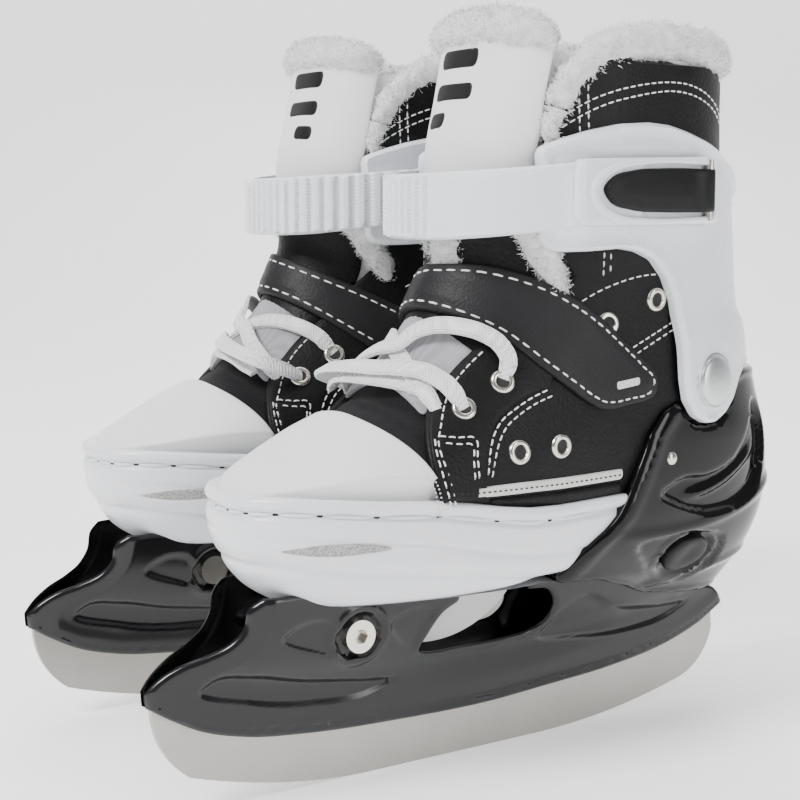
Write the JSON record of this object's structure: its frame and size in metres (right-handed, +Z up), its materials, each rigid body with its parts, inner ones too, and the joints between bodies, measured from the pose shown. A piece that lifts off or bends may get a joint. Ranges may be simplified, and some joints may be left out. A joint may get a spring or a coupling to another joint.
{
  "type": "ice skates",
  "caption": "Mirrored pair of size-adjustable ice skates: fleece-lined lace-up boots in hard shells with buckled ankle cuffs, sliding toes and steel blades.",
  "frame": {"origin": "centre of the pair's bounding box, on the ice under the blades", "axes": "+Z up, toes point along -Y, +X across the pair from the right skate to the left skate"},
  "size_m": [0.2316, 0.2929, 0.2921],
  "materials": {
    "blade_steel": "satin stamped carbon steel",
    "black_plastic": "semi-gloss black",
    "black_gloss": "polished black",
    "fasteners": "nickel plated",
    "pivot_caps": "satin silver",
    "black_leather": "fine pebble grain",
    "strap_leather": "fine pebble grain",
    "white_leather": "smooth white leatherette",
    "black_fabric": "woven",
    "lining_fabric": "satin lining",
    "white_fur": "short curly fleece",
    "laces": "flat woven",
    "piping": "light stitched binding",
    "eyelets": "nickel plated",
    "white_shell": "semi-gloss white",
    "white_plastic": "semi-gloss white",
    "grey_plastic": "matt light grey",
    "lever_plastic": "fine matt black",
    "button_plastic": "satin black"
  },
  "bodies": {
    "skates": {"left_blade": "blade_steel", "left_blade_holder": "black_plastic", "left_blade_screws": "fasteners", "left_toe_bolt": "fasteners", "left_heel_shell": "black_gloss", "left_button_spring": "fasteners", "left_shell_rivets": "pivot_caps", "left_upper_outer": "black_leather", "left_upper_inner": "black_leather", "left_gusset": "black_fabric", "left_piping": "piping", "left_eyelets": "eyelets", "left_laces": "laces", "left_instep_strap": "strap_leather", "left_tongue_lower": "black_leather", "left_insole": "lining_fabric", "right_blade": "blade_steel", "right_blade_holder": "black_plastic", "right_blade_screws": "fasteners", "right_toe_bolt": "fasteners", "right_heel_shell": "black_gloss", "right_button_spring": "fasteners", "right_shell_rivets": "pivot_caps", "right_upper_outer": "black_leather", "right_upper_inner": "black_leather", "right_gusset": "black_fabric", "right_piping": "piping", "right_eyelets": "eyelets", "right_laces": "laces", "right_instep_strap": "strap_leather", "right_tongue_lower": "black_leather", "right_insole": "lining_fabric"},
    "left_toe_slider": {"left_toe_shell": "white_shell", "left_toe_keel": "grey_plastic", "left_size_rack": "grey_plastic", "left_toe_cap": "white_leather"},
    "left_ankle_cuff": {"left_cuff": "white_plastic", "left_ladder_strap": "white_plastic", "left_buckle_frame": "white_plastic", "left_lever_pin": "fasteners", "left_cuff_studs": "eyelets", "left_boot_shaft": "black_leather", "left_fur_lining": "white_fur", "left_tongue_upper": "white_leather"},
    "left_buckle": {"left_buckle_lever": "lever_plastic"},
    "left_size_button": {"left_lock_button": "button_plastic"},
    "right_toe_slider": {"right_toe_shell": "white_shell", "right_toe_keel": "grey_plastic", "right_size_rack": "grey_plastic", "right_toe_cap": "white_leather"},
    "right_ankle_cuff": {"right_cuff": "white_plastic", "right_ladder_strap": "white_plastic", "right_buckle_frame": "white_plastic", "right_lever_pin": "fasteners", "right_cuff_studs": "eyelets", "right_boot_shaft": "black_leather", "right_fur_lining": "white_fur", "right_tongue_upper": "white_leather"},
    "right_buckle": {"right_buckle_lever": "lever_plastic"},
    "right_size_button": {"right_lock_button": "button_plastic"}
  },
  "joints": [
    {"name": "left_toe_slide", "type": "slide", "parent": "skates", "child": "left_toe_slider", "axis": [0, -1, 0], "range_m": [0, 0.02]},
    {"name": "left_cuff_flex", "type": "hinge", "parent": "skates", "child": "left_ankle_cuff", "pos_m": [0.062, 0.0805, 0.1492], "axis": [1, 0, 0], "range_deg": [-2, 5], "stiffness_Nm_per_rad": 30},
    {"name": "left_lever_swing", "type": "hinge", "parent": "left_ankle_cuff", "child": "left_buckle", "pos_m": [0.1134, 0.071, 0.2245], "axis": [0, 0, 1], "range_deg": [0, 65]},
    {"name": "left_button_press", "type": "slide", "parent": "skates", "child": "left_size_button", "axis": [-1, 0, 0], "range_m": [0, 0.0025], "stiffness_N_per_m": 400},
    {"name": "right_toe_slide", "type": "slide", "parent": "skates", "child": "right_toe_slider", "axis": [0, -1, 0], "range_m": [0, 0.02]},
    {"name": "right_cuff_flex", "type": "hinge", "parent": "skates", "child": "right_ankle_cuff", "pos_m": [-0.062, 0.0805, 0.1492], "axis": [1, 0, 0], "range_deg": [-2, 5], "stiffness_Nm_per_rad": 30},
    {"name": "right_lever_swing", "type": "hinge", "parent": "right_ankle_cuff", "child": "right_buckle", "pos_m": [-0.1134, 0.071, 0.2245], "axis": [0, 0, -1], "range_deg": [0, 65]},
    {"name": "right_button_press", "type": "slide", "parent": "skates", "child": "right_size_button", "axis": [1, 0, 0], "range_m": [0, 0.0025], "stiffness_N_per_m": 400}
  ]
}
